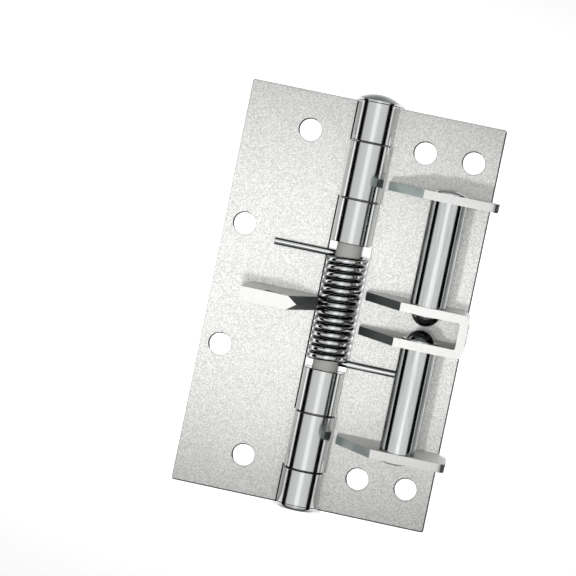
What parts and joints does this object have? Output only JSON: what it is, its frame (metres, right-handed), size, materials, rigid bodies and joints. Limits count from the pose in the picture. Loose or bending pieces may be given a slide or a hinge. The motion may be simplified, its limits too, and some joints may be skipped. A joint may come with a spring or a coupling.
{
  "type": "spring loaded door hinge",
  "caption": "Butt hinge whose coil spring closes the door, with a drilled tongue on one leaf that two sprung balls on the other grip to hold the door open.",
  "frame": {"origin": "middle of the frame leaf's four screw holes, on the leaf's back face, which lies on the frame", "axes": "+Y along the hinge pin towards its head, +X from the pin towards the frame leaf's outer edge, +Z out of the mounting face, towards the knuckles"},
  "size_m": [0.0823, 0.1301, 0.0382],
  "materials": {
    "leaf_steel": "satin stainless sheet, fine brushed grain",
    "ear_steel": "satin stainless sheet with bright cut edges",
    "pin_steel": "plain drawn rod, matt",
    "barrel_trim": "polished steel",
    "spring_wire": "polished spring wire",
    "tube_steel": "polished tube",
    "ball_steel": "polished bearing ball",
    "tongue_steel": "ground steel"
  },
  "bodies": {
    "frame_side": {"frame_leaf": "leaf_steel", "hinge_pin": "pin_steel", "barrel_end_cap": "barrel_trim", "torsion_spring": "spring_wire", "upper_tube_ear": "ear_steel", "lower_tube_ear": "ear_steel", "catch_bracket": "ear_steel", "bracket_rivet": "barrel_trim", "upper_tube": "tube_steel", "lower_tube": "tube_steel", "upper_detent_spring": "spring_wire", "lower_detent_spring": "spring_wire", "upper_end_plug": "barrel_trim", "lower_end_plug": "barrel_trim"},
    "door_side": {"door_leaf": "leaf_steel", "catch_tongue": "tongue_steel"},
    "upper_ball_body": {"upper_ball": "ball_steel"},
    "lower_ball_body": {"lower_ball": "ball_steel"}
  },
  "joints": [
    {"name": "door_swing", "type": "hinge", "parent": "frame_side", "child": "door_side", "pos_m": [-0.0244, 0, 0.00665], "axis": [0, 1, 0], "range_deg": [0, 90], "stiffness_Nm_per_rad": 0.46, "springref_deg": -44.98, "deforming": ["torsion_spring"]},
    {"name": "upper_ball_slide", "type": "slide", "parent": "frame_side", "child": "upper_ball_body", "axis": [0, 1, 0], "range_m": [0, 0.002], "deforming": ["upper_detent_spring"]},
    {"name": "lower_ball_slide", "type": "slide", "parent": "frame_side", "child": "lower_ball_body", "axis": [0, -1, 0], "range_m": [0, 0.002], "deforming": ["lower_detent_spring"]}
  ],
  "couplings": [
    {"joint": "upper_ball_slide", "follows": "door_swing", "m_per_rad": 0.00125},
    {"joint": "lower_ball_slide", "follows": "door_swing", "m_per_rad": 0.00125}
  ]
}
